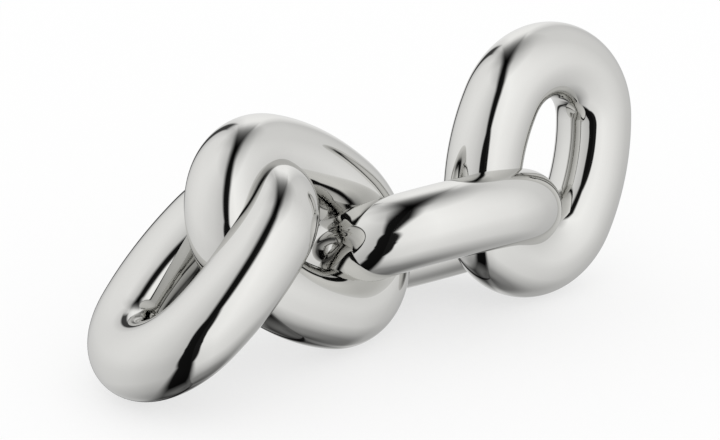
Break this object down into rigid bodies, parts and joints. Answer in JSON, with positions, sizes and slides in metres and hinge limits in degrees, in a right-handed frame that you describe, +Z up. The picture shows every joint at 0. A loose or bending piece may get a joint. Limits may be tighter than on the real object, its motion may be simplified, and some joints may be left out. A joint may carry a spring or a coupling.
{
  "type": "chain link knot sculpture",
  "caption": "Free-standing ornament of heavy, mirror-polished chain links that cross, stay fixed where they meet and lie in a loose line, with the last link standing almost upright.",
  "frame": {"origin": "on the surface that the sculpture stands on, under the middle of its outline", "axes": "+X to the right as the picture shows it, +Y away from the viewer, +Z up"},
  "size_m": [0.3149, 0.2502, 0.1612],
  "materials": {
    "polished_metal": "mirror polished"
  },
  "bodies": {
    "root": {"front_link": "polished_metal", "second_link": "polished_metal", "third_link": "polished_metal", "upright_link": "polished_metal"}
  },
  "joints": []
}
